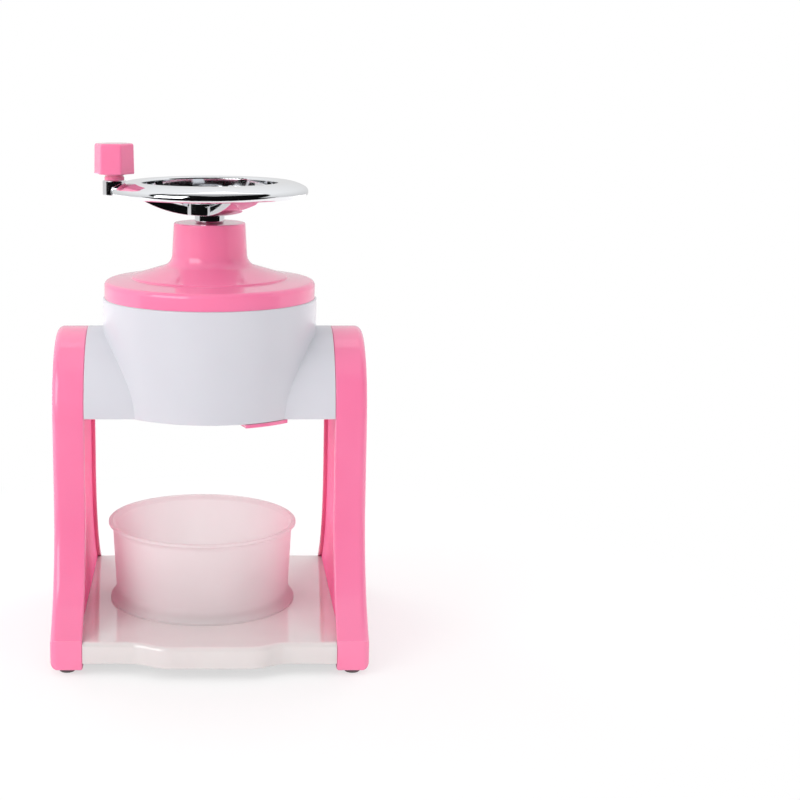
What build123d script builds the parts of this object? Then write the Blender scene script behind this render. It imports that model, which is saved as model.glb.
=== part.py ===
from build123d import *
import os
from math import cos, pi, radians, sin, sqrt, tan

# Hand cranked ice shaver. Millimetres, +Z up, front towards -Y, floor at Z = 0,
# crank axis on the Z axis.

# ---- Stand ----
stand_width = 169.0  # over the outer faces of the two side frames
frame_thickness = 17.3  # one side frame, across X
frame_wall = 2.4  # skin and rim of a side frame
frame_edge_radius = 4.0  # rounded outer edge of a side frame
frame_lip_chamfer = 0.6  # softened inner edge
head_height = 131.0  # floor to the centre of the round heads
head_radius = 43.2  # round head of a side frame, and the housing's wings
foot_half_depth = 78.3  # crank axis to the front face of a foot
foot_face_top = 19.0  # floor to the top of a foot's upright face
flare_radius = 75.0  # hollow curve from the upright down to the foot
pad_height = 3.0  # rubber pads, which hold the frames off the floor
pad_radius = 4.6
pad_setback = 7.8  # foot's front face to the centre of a pad
pad_stem_radius = 2.2
pad_stem_length = 4.0
cover_recess = 2.2  # lip of a frame to its inner cover
cover_thickness = 2.0

# ---- Base plate ----
plate_drop = 1.0  # top of a foot's upright face down to the plate's top
plate_height = 11.5
plate_wall = 2.4
plate_edge_radius = 2.6
bulge_depth = 7.5  # how far the middle of the front edge comes forward
bulge_flat_half = 20.0  # half the straight stretch at the middle of the bulge
bulge_run = 24.0  # length of the double curve at each end of the bulge
plate_rib_thickness = 1.6
plate_rib_height = 6.0
plate_rib_pitch = 30.0

# ---- Housing ----
drum_radius = 58.9
drum_wall = 2.8
drum_height = 60.0  # from the centre of the heads up
drum_edge_chamfer = 0.6
wing_wall = 2.6
wing_end_wall = 3.0
wing_groove_width = 0.6  # fine line round each wing beside its frame
wing_groove_depth = 0.4
wing_groove_setback = 2.2
ledge_depth = 5.0  # ring that the blade seat bears on from below
ledge_lift = 3.6  # drum's lower edge to the underside of the ledge
ledge_thickness = 2.4
fin_count = 6  # upright fins that keep the ice from turning
fin_depth = 3.0
fin_width = 2.4
fin_clearance = 5.0  # above the ledge
fin_drop = 11.0  # below the top of the drum

# ---- Screws that hold the stand together ----
screw_radius = 1.9
screw_length = 16.0
screw_head_radius = 3.6
screw_head_height = 2.4
screw_boss_radius = 5.6
screw_recess_radius = 4.2
screw_recess_depth = 8.0
plug_thickness = 1.6
screw_fit = 0.05  # clearance round a screw, or round a plug
head_screw_y = 24.0
head_screw_rise = 16.0  # above the centre of the head
foot_screw_y = 52.0
boss_depth = 10.0  # bosses inside the wings and the base plate

# ---- Blade seat, turned in under the housing ----
seat_fit = 0.35
seat_flange_thickness = 1.8
seat_floor_thickness = 2.8
lug_count = 3
lug_depth = 3.0
lug_height = 1.5
lug_angle = 16.0  # degrees that one lug spans
lug_first_angle = 40.0
notch_extra_angle = 5.0
unlock_turn = 26.0  # degrees from locked to free
tab_angle = -58.0  # where the finger tab points, degrees from +X
tab_half_angle = 13.0
tab_thickness = 1.9
tab_overlap = 7.1  # how far the tab's riser reaches in under the ledge
tab_gap = 0.3  # under the housing's lower edge

# ---- Blade ----
slot_start = 8.0  # along X from the crank axis
slot_setback = 2.75  # end of the slot to the rim of the hopper floor
slot_mouth = 6.0  # blade edge to the far side of the slot
chute_flare = 2.0
blade_thickness = 0.8
blade_width = 15.0
blade_tilt = 20.0
blade_rise = 0.5  # cutting edge above the hopper floor
blade_end_gap = 0.4
blade_bevel = 1.6
blade_screw_radius = 1.5
blade_screw_length = 4.2
blade_screw_head_radius = 2.7
blade_screw_head_height = 1.4
blade_screw_inset = 8.0
blade_screw_setback = 11.0  # from the cutting edge, along the blade

# ---- Lid ----
lid_setback = 0.9  # drum's outer face to the lid's
lid_edge_radius = 2.6
lid_wall = 2.4
lid_step_radius = 42.7
lid_step_height = 0.9
lid_rim_rise = 9.0  # drum top to the lid's shoulder
lid_slope_rise = 10.8  # drum top to the foot of the raised disc
neck_foot_rise = 18.4  # drum top to the sharp corner under the neck's curve
neck_foot_radius = 20.9
neck_curve_radius = 7.0
neck_top_radius = 19.6
neck_rise = 40.8  # drum top to the top of the neck
neck_edge_radius = 0.9
spigot_depth = 7.0
spigot_wall = 2.2
spigot_gap = 0.4

# ---- Shaft, bush and spring ----
shaft_radius = 4.0
running_gap = 0.05
bush_radius = 6.2
bush_flange_gap = 3.2  # flange to the inside of the neck
bush_flange_thickness = 2.4
bush_length = 12.0
spring_setback = 1.4  # edge of the bush's flange, or of the washer, to the wire
spring_wire_radius = 1.0
spring_turns = 9
spring_end_turns = 1.0  # close turns at each end
spring_blend_turns = 0.5  # over which the pitch changes from close to open
spring_end_pitch = 2.6
spring_seat_gap = 0.05
washer_thickness = 1.6
press_stroke = 28.0  # how far ice can push the crank up

# ---- Ice press ----
press_gap = 7.1  # press plate to the fins
press_clearance = 7.5  # hopper floor to the press plate at rest
press_thickness = 4.6
press_edge_chamfer = 0.6
press_boss_radius = 13.0
press_boss_height = 1.6
press_pocket_depth = 2.4
press_pocket_inner = 16.0
press_pocket_rim = 3.0
press_rib_count = 6
press_rib_width = 2.0
spike_radius = 1.5
spike_reach = 5.9  # below the press plate
spike_root = 3.0  # inside the press plate
spike_tip_length = 3.4
inner_spike_count = 6
inner_spike_circle = 20.0
outer_spike_count = 9
spike_setback = 8.0  # edge of the press plate to the outer circle of spikes
press_screw_radius = 2.5
press_screw_length = 14.0
press_screw_head_radius = 6.5
press_screw_head_height = 2.4

# ---- Handwheel ----
collar_radius = 8.1
collar_gap = 0.2  # above the neck
collar_height = 4.0
hub_height = 7.0
hub_radius = 15.0
hub_foot_radius = 10.2  # flat underside of the hub
hub_socket = 5.5  # shaft end inside the hub
rim_radius = 53.7
rim_inner_radius = 37.2
rim_lift = 10.4  # underside of the hub up to the underside of the rim
rim_height = 7.8
rim_nose_lift = 2.1  # rim's underside to its outermost line
rim_corner_radius = 1.0
dish_thickness = 4.2
dish_sweep = 0.3  # share of its rise that a spoke has at its middle
spoke_count = 3
spoke_width = 17.0
spoke_first_angle = 180.0
window_corner = 3.0
cap_radius = 7.6
cap_height = 3.6
cap_fit = 0.2
hub_screw_radius = 2.0
hub_screw_length = 10.0
hub_screw_head_radius = 3.8
hub_screw_head_height = 2.0

# ---- Knob ----
knob_setback = 1.9  # outside of the rim to the knob's axis
knob_boss_radius = 6.4
knob_boss_rise = 0.3  # above the rim
knob_gap = 0.25
stem_radius = 5.4
stem_height = 3.4
stem_groove_depth = 0.5
stem_groove_height = 0.8
knob_height = 16.45
knob_across_corners = 22.6
knob_sides = 6
knob_turn = 52.0  # degrees, first corner from +X
knob_draft = 1.2
knob_corner_radius = 1.6
knob_edge_radius = 1.3
axle_radius = 2.5
axle_thread_radius = 2.2
axle_thread_length = 6.0
axle_head_radius = 4.0
axle_head_height = 2.0
knob_cap_radius = 4.6
knob_cap_thickness = 1.4
axle_head_gap = 0.3

# ---- Bowl ----
bowl_offset = -4.2  # it stands a little left of the crank axis
bowl_height = 45.7
bowl_rim_radius = 53.0
bowl_rim_height = 1.4  # edge of the rim
bowl_flare_height = 4.6  # from the wall out to the rim
bowl_wall_top = 50.6
bowl_wall_bottom = 49.0
bowl_wall = 1.6
bowl_foot_radius = 52.2
bowl_foot_height = 8.5  # from the floor up to where the wall is straight
bowl_foot_edge = 1.2
bowl_floor_lift = 1.4
bowl_rest_gap = 0.1
bowl_corner_radius = 4.0

# ---- Worked out from the sizes above ----
plate_top = foot_face_top - plate_drop
plate_bottom = plate_top - plate_height
drum_top = head_height + drum_height
ledge_bottom = head_height + ledge_lift
ledge_top = ledge_bottom + ledge_thickness
fin_bottom = ledge_top + fin_clearance
fin_top = drum_top - fin_drop
neck_top = drum_top + neck_rise
press_bottom = ledge_top + press_clearance
hub_bottom = neck_top + collar_gap + collar_height
hub_top = hub_bottom + hub_height
rim_bottom = hub_bottom + rim_lift
rim_top = rim_bottom + rim_height
rim_nose_height = rim_bottom + rim_nose_lift
knob_boss_top = rim_top + knob_boss_rise
frame_outer = stand_width / 2
frame_inner = frame_outer - frame_thickness
cover_inner = frame_inner + cover_recess
boss_face = cover_inner + cover_thickness
hopper_radius = drum_radius - drum_wall
ledge_radius = hopper_radius - ledge_depth
lid_radius = drum_radius - lid_setback
press_radius = hopper_radius - fin_depth - press_gap
outer_spike_circle = press_radius - spike_setback
slot_length = ledge_radius - seat_fit - slot_setback - slot_start
tab_inner_radius = ledge_radius - tab_overlap
bush_flange_radius = neck_top_radius - lid_wall - bush_flange_gap
spring_radius = bush_flange_radius - spring_setback - spring_wire_radius
washer_radius = spring_radius + spring_wire_radius + spring_setback
knob_circle = rim_radius - knob_setback
seat_bottom = head_height
seat_flange_radius = hopper_radius - seat_fit
head_screw_z = head_height + head_screw_rise
foot_screw_z = (plate_top + plate_bottom) / 2
screw_places = [
    (-head_screw_y, head_screw_z),
    (head_screw_y, head_screw_z),
    (-foot_screw_y, foot_screw_z),
    (foot_screw_y, foot_screw_z),
]
screw_seat = frame_outer - screw_recess_depth
press_top = press_bottom + press_thickness
press_boss_top = press_top + press_boss_height
washer_bottom = press_boss_top + spring_seat_gap
spring_bottom = washer_bottom + washer_thickness + spring_seat_gap
neck_ceiling = neck_top - lid_wall
spring_top = neck_ceiling - bush_flange_thickness - spring_seat_gap
shaft_bottom = press_bottom
shaft_top = hub_bottom + hub_socket
collar_bottom = neck_top + collar_gap
knob_bottom = knob_boss_top + knob_gap + stem_height
knob_top = knob_bottom + knob_height
bowl_bottom = plate_top + bowl_rest_gap
bowl_top = bowl_bottom + bowl_height

os.makedirs("parts", exist_ok=True)


def side_outline(inset):
    """Outline of a side frame in its YZ plane, drawn in by the inset."""
    run = foot_half_depth - head_radius
    flare_top = foot_face_top + sqrt(flare_radius**2 - (flare_radius - run) ** 2)
    with BuildSketch(Plane.YZ) as outline:
        with BuildLine():
            bottom = Line((0, pad_height), (foot_half_depth, pad_height))
            face = Line(bottom @ 1, (foot_half_depth, foot_face_top))
            flare = RadiusArc(face @ 1, (head_radius, flare_top), flare_radius)
            upright = Line(flare @ 1, (head_radius, head_height))
            CenterArc((0, head_height), head_radius, 0, 90)
            mirror(about=Plane.YZ)
        make_face()
        if inset:
            offset(amount=-inset, kind=Kind.INTERSECTION)
    return outline.sketch


def half_disc(radius):
    """Half disc of a wing, flat side down, in the YZ plane."""
    with BuildSketch(Plane.YZ) as section:
        with BuildLine():
            Line((-radius, head_height), (radius, head_height))
            ThreePointArc((radius, head_height), (0, head_height + radius), (-radius, head_height))
        make_face()
    return section.sketch


def ring_sector(inner_radius, outer_radius, middle_angle, half_angle):
    """Flat sector of a ring about the crank axis."""
    with BuildSketch() as sector:
        with BuildLine():
            start = middle_angle - half_angle
            outer = CenterArc((0, 0), outer_radius, start, 2 * half_angle)
            inner = CenterArc((0, 0), inner_radius, start, 2 * half_angle)
            Line(outer @ 0, inner @ 0)
            Line(outer @ 1, inner @ 1)
        make_face()
    return sector.sketch


def pan_screw(shank_radius, length, head_radius, head_height):
    """Pan head screw. The head's underside is at the origin, the shank points to -Z."""
    with BuildPart() as screw:
        with BuildSketch(Plane.XZ):
            with BuildLine():
                Polyline(
                    (0, head_height),
                    (head_radius * 0.5, head_height),
                    (head_radius, head_height * 0.45),
                    (head_radius, 0),
                    (shank_radius, 0),
                    (shank_radius, -length),
                    (0, -length),
                    close=True,
                )
            make_face()
        revolve(axis=Axis.Z)
    return screw.part


# ---- Side frames: a moulded shell, open towards the middle of the stand ----
with BuildPart() as right_frame:
    extrude(side_outline(0).moved(Location((frame_inner, 0, 0))), amount=frame_thickness)
    fillet(right_frame.faces().sort_by(Axis.X)[-1].edges(), frame_edge_radius)
    extrude(
        side_outline(frame_wall).moved(Location((frame_inner, 0, 0))),
        amount=frame_thickness - frame_wall,
        mode=Mode.SUBTRACT,
    )
    chamfer(
        right_frame.edges().filter_by_position(Axis.X, frame_inner - 0.01, frame_inner + 0.01),
        frame_lip_chamfer,
    )
    with BuildSketch(Plane.YZ.offset(boss_face)):
        with Locations(*screw_places):
            Circle(screw_boss_radius)
    extrude(amount=frame_outer - frame_wall / 2 - boss_face)
    with BuildSketch(Plane.YZ.offset(frame_outer)):
        with Locations(*screw_places):
            Circle(screw_recess_radius)
    extrude(amount=-screw_recess_depth, mode=Mode.SUBTRACT)
    with BuildSketch(Plane.YZ.offset(boss_face)):
        with Locations(*screw_places):
            Circle(screw_radius + screw_fit)
    extrude(amount=screw_seat - boss_face, mode=Mode.SUBTRACT)
    pad_y = foot_half_depth - pad_setback
    pad_x = (frame_inner + frame_outer) / 2
    with Locations((pad_x, -pad_y, pad_height), (pad_x, pad_y, pad_height)):
        Cylinder(
            pad_stem_radius + screw_fit,
            frame_wall,
            align=(Align.CENTER, Align.CENTER, Align.MIN),
            mode=Mode.SUBTRACT,
        )

with BuildPart() as left_frame:
    mirror(right_frame.part, about=Plane.YZ)

# ---- Inner covers, let into the frames ----
with BuildPart() as right_frame_cover:
    extrude(
        side_outline(frame_wall + screw_fit).moved(Location((cover_inner, 0, 0))),
        amount=cover_thickness,
    )
    with BuildSketch(Plane.YZ.offset(cover_inner)):
        with Locations(*screw_places):
            Circle(screw_radius + screw_fit)
    extrude(amount=cover_thickness, mode=Mode.SUBTRACT)

with BuildPart() as left_frame_cover:
    mirror(right_frame_cover.part, about=Plane.YZ)

# ---- Base plate: shallow tray, open underneath, with a bulge front and back ----
with BuildPart() as base_plate:
    with BuildSketch(Plane.XY.offset(plate_bottom)) as plate_outline:
        with BuildLine():
            front = -foot_half_depth
            bulge_start = bulge_flat_half + bulge_run
            side = Line((frame_inner, 0), (frame_inner, front))
            flat = Line(side @ 1, (bulge_start, front))
            curve_middle = (bulge_start - bulge_run / 2, front - bulge_depth / 2)
            curve_end = (bulge_flat_half, front - bulge_depth)
            first = TangentArc(flat @ 1, curve_middle, tangent=(-1, 0))
            second = TangentArc(first @ 1, curve_end, tangent=first % 1)
            Line(second @ 1, (0, front - bulge_depth))
            mirror(about=Plane.XZ)
            mirror(about=Plane.YZ)
        make_face()
    extrude(amount=plate_top - plate_bottom)
    fillet(base_plate.faces().sort_by(Axis.Z)[-1].edges().filter_by(Axis.Y, reverse=True), plate_edge_radius)
    with BuildSketch(Plane.XY.offset(plate_bottom)):
        add(plate_outline.sketch)
        offset(amount=-plate_wall)
    extrude(amount=plate_top - plate_bottom - plate_wall, mode=Mode.SUBTRACT)
    # tongues that enter the recess of each frame
    tongue_half = foot_half_depth - 1.6 * frame_wall
    with BuildSketch(Plane.YZ.offset(-cover_inner)):
        with Locations((0, (plate_bottom + plate_top) / 2)):
            Rectangle(2 * tongue_half, plate_top - plate_bottom)
    extrude(amount=cover_recess + plate_wall)
    with BuildSketch(Plane.YZ.offset(cover_inner)):
        with Locations((0, (plate_bottom + plate_top) / 2)):
            Rectangle(2 * tongue_half, plate_top - plate_bottom)
    extrude(amount=-cover_recess - plate_wall)
    # bosses for the four screws, and the ribs between them
    with BuildSketch(Plane.YZ.offset(-cover_inner)):
        with Locations((-foot_screw_y, foot_screw_z), (foot_screw_y, foot_screw_z)):
            Rectangle(2 * screw_boss_radius, plate_top - plate_bottom - plate_wall)
    extrude(amount=boss_depth + cover_recess)
    with BuildSketch(Plane.YZ.offset(cover_inner)):
        with Locations((-foot_screw_y, foot_screw_z), (foot_screw_y, foot_screw_z)):
            Rectangle(2 * screw_boss_radius, plate_top - plate_bottom - plate_wall)
    extrude(amount=-boss_depth - cover_recess)
    rib_bottom = plate_top - plate_wall - plate_rib_height
    with BuildSketch(Plane.XY.offset(rib_bottom)):
        with GridLocations(plate_rib_pitch, 0, 5, 1):
            Rectangle(plate_rib_thickness, 2 * tongue_half)
        with GridLocations(0, plate_rib_pitch, 1, 5):
            Rectangle(2 * frame_inner - plate_wall, plate_rib_thickness)
    extrude(amount=plate_rib_height)
    with BuildSketch(Plane.YZ.offset(-cover_inner)):
        with Locations((-foot_screw_y, foot_screw_z), (foot_screw_y, foot_screw_z)):
            Circle(screw_radius + screw_fit)
    extrude(amount=boss_depth, mode=Mode.SUBTRACT)
    with BuildSketch(Plane.YZ.offset(cover_inner)):
        with Locations((-foot_screw_y, foot_screw_z), (foot_screw_y, foot_screw_z)):
            Circle(screw_radius + screw_fit)
    extrude(amount=-boss_depth, mode=Mode.SUBTRACT)

# ---- Housing: drum, two half round wings, and the ledge for the blade seat ----
with BuildPart() as housing:
    wing_reach = cover_inner
    extrude(half_disc(head_radius).moved(Location((-frame_inner, 0, 0))), amount=2 * frame_inner)
    spigot_radius = head_radius - frame_wall - screw_fit
    extrude(half_disc(spigot_radius).moved(Location((-wing_reach, 0, 0))), amount=2 * wing_reach)
    hollow = wing_reach - wing_end_wall
    extrude(
        half_disc(head_radius - wing_wall).moved(Location((-hollow, 0, 0))),
        amount=2 * hollow,
        mode=Mode.SUBTRACT,
    )
    # fine groove round each wing
    for groove_x in (-frame_inner + wing_groove_setback, frame_inner - wing_groove_setback - wing_groove_width):
        with BuildSketch(Plane.YZ.offset(groove_x)):
            add(half_disc(head_radius + wing_wall))
            add(half_disc(head_radius - wing_groove_depth), mode=Mode.SUBTRACT)
        extrude(amount=wing_groove_width, mode=Mode.SUBTRACT)
    # screw bosses on the wings' end walls
    for side_sign in (-1, 1):
        with BuildSketch(Plane.YZ.offset(side_sign * hollow)):
            with Locations((-head_screw_y, head_screw_z), (head_screw_y, head_screw_z)):
                Circle(screw_boss_radius)
        extrude(amount=-side_sign * boss_depth)
    with BuildSketch(Plane.XY.offset(head_height)):
        Circle(drum_radius)
    extrude(amount=drum_top - head_height)
    with BuildSketch(Plane.XY.offset(head_height)):
        Circle(hopper_radius)
    extrude(amount=drum_top - head_height, mode=Mode.SUBTRACT)
    chamfer(
        housing.edges().filter_by(GeomType.CIRCLE).filter_by_position(Axis.Z, drum_top - 0.01, drum_top + 0.01),
        drum_edge_chamfer,
    )
    with BuildSketch(Plane.XY.offset(ledge_bottom)):
        Circle(hopper_radius + drum_wall / 2)
        Circle(ledge_radius, mode=Mode.SUBTRACT)
    extrude(amount=ledge_top - ledge_bottom)
    with BuildSketch(Plane.XY.offset(fin_bottom)):
        with PolarLocations(hopper_radius - (fin_depth - drum_wall / 2) / 2, fin_count, start_angle=30):
            Rectangle(fin_depth + drum_wall / 2, fin_width)
    extrude(amount=fin_top - fin_bottom)
    for lug in range(lug_count):
        middle = lug_first_angle + lug * 360 / lug_count
        sector = ring_sector(hopper_radius - lug_depth, hopper_radius + drum_wall / 2, middle, lug_angle / 2)
        extrude(sector.moved(Location((0, 0, head_height))), amount=lug_height)
    for side_sign in (-1, 1):
        with BuildSketch(Plane.YZ.offset(side_sign * wing_reach)):
            with Locations((-head_screw_y, head_screw_z), (head_screw_y, head_screw_z)):
                Circle(screw_radius + screw_fit)
        extrude(amount=-side_sign * boss_depth, mode=Mode.SUBTRACT)

# ---- Screws, plugs and pads of the stand ----
stand_screw = pan_screw(screw_radius, screw_length, screw_head_radius, screw_head_height)
with BuildPart() as frame_screws:
    for y, z in screw_places:
        add(stand_screw.moved(Location((screw_seat, y, z), (0, 90, 0))))
        add(stand_screw.moved(Location((-screw_seat, y, z), (0, -90, 0))))

with BuildPart() as screw_plugs:
    for side_sign in (-1, 1):
        with BuildSketch(Plane.YZ.offset(side_sign * frame_outer)):
            with Locations(*screw_places):
                Circle(screw_recess_radius - screw_fit)
        extrude(amount=-side_sign * plug_thickness)

with BuildPart() as rubber_feet:
    with Locations(*[(x, y, 0) for x in (-pad_x, pad_x) for y in (-pad_y, pad_y)]):
        Cylinder(pad_radius, pad_height, align=(Align.CENTER, Align.CENTER, Align.MIN))
        with Locations((0, 0, pad_height)):
            Cylinder(pad_stem_radius, pad_stem_length, align=(Align.CENTER, Align.CENTER, Align.MIN))
    chamfer(
        rubber_feet.edges().filter_by(GeomType.CIRCLE).filter_by_position(Axis.Z, -0.01, 0.01),
        pad_height * 0.25,
    )

# ---- Blade seat: hopper floor with its slot, held by three lugs ----
edge_z = ledge_top + blade_rise
tilt = radians(blade_tilt)


def blade_line(along, below):
    """Point in the YZ plane, so far along the blade from its edge and so far below its upper face."""
    y = -along * cos(tilt) + below * sin(tilt)
    z = edge_z - along * sin(tilt) - below * cos(tilt)
    return (y, z)


with BuildPart() as blade_seat:
    flange_top = ledge_bottom - spring_seat_gap
    flange_bottom = flange_top - seat_flange_thickness
    floor_bottom = ledge_top - seat_floor_thickness
    with BuildSketch(Plane.XY.offset(flange_bottom)):
        Circle(seat_flange_radius)
    extrude(amount=seat_flange_thickness)
    with BuildSketch(Plane.XY.offset(flange_bottom)):
        Circle(ledge_radius - seat_fit)
    extrude(amount=ledge_top - flange_bottom)
    # hollow underside with a stiffening rim
    with BuildSketch(Plane.XY.offset(flange_bottom)):
        Circle(ledge_radius - seat_fit - plate_wall)
    extrude(amount=floor_bottom - flange_bottom, mode=Mode.SUBTRACT)
    # block that carries the blade, and the walls of the chute
    block_back = blade_line(blade_width + blade_end_gap, 0)[0] - plate_wall
    block_front = slot_mouth + chute_flare + plate_wall
    with BuildSketch(Plane.XY.offset(seat_bottom)):
        with Locations((slot_start + slot_length / 2, (block_back + block_front) / 2)):
            RectangleRounded(slot_length + 2 * plate_wall, block_front - block_back, plate_wall / 2)
    extrude(amount=floor_bottom - seat_bottom)
    # one cut makes the mouth, the chute below it and the sloping bed of the blade
    with BuildSketch(Plane.YZ.offset(slot_start)):
        with BuildLine():
            Polyline(
                blade_line(-blade_rise / sin(tilt), 0),
                (slot_mouth, edge_z + blade_rise),
                (slot_mouth, ledge_top),
                (slot_mouth + chute_flare, seat_bottom - 1),
                (blade_line(blade_width + blade_end_gap, 0)[0], seat_bottom - 1),
                blade_line(blade_width + blade_end_gap, 0),
                close=True,
            )
        make_face()
    extrude(amount=slot_length, mode=Mode.SUBTRACT)
    # pilot holes for the two blade screws, square to the bed
    bed_y, bed_z = blade_line(blade_screw_setback, 0)
    screw_xs = (slot_start + blade_screw_inset, slot_start + slot_length - blade_screw_inset)
    for x in screw_xs:
        with BuildSketch(Plane((x, bed_y, bed_z), x_dir=(1, 0, 0), z_dir=(0, -sin(tilt), cos(tilt)))):
            Circle(blade_screw_radius + screw_fit)
        extrude(amount=blade_screw_length - blade_thickness - blade_rise, mode=Mode.SUBTRACT)
    # notches that let the lugs past when the seat is turned
    for lug in range(lug_count):
        middle = lug_first_angle + lug * 360 / lug_count - unlock_turn
        notch = ring_sector(
            hopper_radius - lug_depth - seat_fit,
            hopper_radius + drum_wall,
            middle,
            (lug_angle + notch_extra_angle) / 2,
        )
        extrude(
            notch.moved(Location((0, 0, flange_bottom - 1))),
            amount=seat_flange_thickness + 2,
            mode=Mode.SUBTRACT,
        )
    # finger tab that shows under the front of the drum
    riser = ring_sector(
        tab_inner_radius, hopper_radius - lug_depth - seat_fit, tab_angle, tab_half_angle
    )
    tab_top = head_height - tab_gap
    extrude(
        riser.moved(Location((0, 0, tab_top - tab_thickness))),
        amount=flange_top - tab_top + tab_thickness,
    )
    tab = ring_sector(tab_inner_radius, drum_radius, tab_angle, tab_half_angle)
    extrude(tab.moved(Location((0, 0, tab_top - tab_thickness))), amount=tab_thickness)

with BuildPart() as blade:
    with BuildSketch(Plane.YZ.offset(slot_start + blade_end_gap)):
        with BuildLine():
            Polyline(
                blade_line(0, 0),
                blade_line(blade_bevel, blade_thickness),
                blade_line(blade_width, blade_thickness),
                blade_line(blade_width, 0),
                close=True,
            )
        make_face()
    extrude(amount=slot_length - 2 * blade_end_gap)
    for x in screw_xs:
        with BuildSketch(Plane((x, bed_y, bed_z), x_dir=(1, 0, 0), z_dir=(0, -sin(tilt), cos(tilt)))):
            Circle(blade_screw_radius + screw_fit)
        extrude(amount=-blade_thickness - 1, mode=Mode.SUBTRACT)

blade_screw = pan_screw(
    blade_screw_radius,
    blade_screw_length - blade_rise,
    blade_screw_head_radius,
    blade_screw_head_height,
)
with BuildPart() as blade_screws:
    head_y, head_z = blade_line(blade_screw_setback, blade_thickness)
    for x in screw_xs:
        add(blade_screw.moved(Location((x, head_y, head_z), (180 + blade_tilt, 0, 0))))

# ---- Lid with its neck ----
with BuildPart() as lid:
    with BuildSketch(Plane.XZ) as lid_profile:
        spigot_outer = hopper_radius - spigot_gap
        spigot_inner = spigot_outer - spigot_wall
        neck_corner = (neck_foot_radius, drum_top + neck_foot_rise)
        shoulder = (lid_radius, drum_top + lid_rim_rise)
        with BuildLine():
            Polyline(
                (bush_radius, neck_top),
                (neck_top_radius, neck_top),
                neck_corner,
                (lid_step_radius, drum_top + lid_slope_rise + lid_step_height),
                (lid_step_radius + lid_step_height * 0.6, drum_top + lid_slope_rise),
                shoulder,
                (lid_radius, drum_top),
                (spigot_outer, drum_top),
                (spigot_outer, drum_top - spigot_depth),
                (spigot_inner, drum_top - spigot_depth),
                (spigot_inner, drum_top + lid_rim_rise - lid_wall),
                (lid_step_radius, drum_top + lid_slope_rise - lid_wall),
                (neck_foot_radius + lid_wall, drum_top + neck_foot_rise - 1.4 * lid_wall),
                (neck_foot_radius - lid_wall, drum_top + neck_foot_rise + lid_wall),
                (neck_top_radius - lid_wall, neck_ceiling),
                (bush_radius, neck_ceiling),
                close=True,
            )
        make_face()
        fillet(lid_profile.vertices().sort_by_distance(neck_corner)[0], neck_curve_radius)
        fillet(lid_profile.vertices().sort_by_distance(shoulder)[0], lid_edge_radius)
        neck_edge = (neck_top_radius, neck_top)
        fillet(lid_profile.vertices().sort_by_distance(neck_edge)[0], neck_edge_radius)
    revolve(axis=Axis.Z)

# ---- Bush in the top of the neck ----
with BuildPart() as neck_bush:
    with BuildSketch(Plane.XZ):
        with BuildLine():
            Polyline(
                (shaft_radius + running_gap, neck_top),
                (bush_radius - screw_fit, neck_top),
                (bush_radius - screw_fit, neck_ceiling),
                (bush_flange_radius, neck_ceiling),
                (bush_flange_radius, neck_ceiling - bush_flange_thickness),
                (bush_radius, neck_ceiling - bush_flange_thickness),
                (bush_radius, neck_top - bush_length),
                (shaft_radius + running_gap, neck_top - bush_length),
                close=True,
            )
        make_face()
    revolve(axis=Axis.Z)

# ---- Spring: close turns at both ends, open turns between ----
spring_low = spring_bottom + spring_wire_radius
spring_high = spring_top - spring_wire_radius
steps_per_turn = 4
open_turns = spring_turns - 2 * spring_end_turns - spring_blend_turns
extra_pitch = (spring_high - spring_low - spring_turns * spring_end_pitch) / open_turns


def spring_rise(turn):
    """Height gained after so many turns from the nearer end."""
    opened = max(0, turn - spring_end_turns)
    blend = min(opened, spring_blend_turns)
    return turn * spring_end_pitch + extra_pitch * (opened - blend + blend**2 / (2 * spring_blend_turns))


def spring_point(turn):
    """Point on the middle of the wire after so many turns from the lower end."""
    angle = 2 * pi * turn
    if turn <= spring_turns / 2:
        height = spring_low + spring_rise(turn)
    else:
        height = spring_high - spring_rise(spring_turns - turn)
    return Vector(spring_radius * cos(angle), spring_radius * sin(angle), height)


def spring_direction(turn):
    """Direction of the wire after so many turns from the lower end."""
    angle = 2 * pi * turn
    around = 2 * pi * spring_radius
    opened = max(0, min(turn, spring_turns - turn) - spring_end_turns)
    pitch = spring_end_pitch + extra_pitch * min(opened / spring_blend_turns, 1)
    return Vector(-around * sin(angle), around * cos(angle), pitch).normalized()


with BuildPart() as press_spring:
    with BuildLine() as spring_line:
        for step in range(spring_turns * steps_per_turn):
            # each quarter turn is a pair of arcs that meet smoothly, halfway between two corners
            start, end = (spring_point((step + ahead) / steps_per_turn) for ahead in (0, 1))
            leaving, arriving = (spring_direction((step + ahead) / steps_per_turn) for ahead in (0, 1))
            span = end - start
            bend = 2 * leaving.dot(arriving) - 2
            along = span.dot(leaving + arriving)
            reach = (along - sqrt(along**2 - bend * span.dot(span))) / bend
            first_corner = start + leaving * reach
            second_corner = end - arriving * reach
            middle = (first_corner + second_corner) / 2
            TangentArc(start, middle, tangent=leaving)
            TangentArc(middle, end, tangent=second_corner - first_corner)
    with BuildSketch(Plane(spring_line.line @ 0, z_dir=spring_line.line % 0)):
        Circle(spring_wire_radius)
    sweep(path=spring_line.line)

# least gap between turns, measured between points on the wire more than half a turn apart
sample_count = 400
samples = [spring_line.line @ (sample / sample_count) for sample in range(sample_count + 1)]
half_turn = round(sample_count / spring_turns / 2)
nearest = min(
    (samples[low] - samples[high]).length
    for low in range(sample_count + 1)
    for high in range(low + half_turn, sample_count + 1)
)
print("least gap between spring turns", round(nearest - 2 * spring_wire_radius, 2))

# ---- Thrust washer under the spring ----
with BuildPart() as thrust_washer:
    with BuildSketch(Plane.XY.offset(washer_bottom)):
        Circle(washer_radius)
        Circle(shaft_radius + running_gap, mode=Mode.SUBTRACT)
    extrude(amount=washer_thickness)

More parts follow.
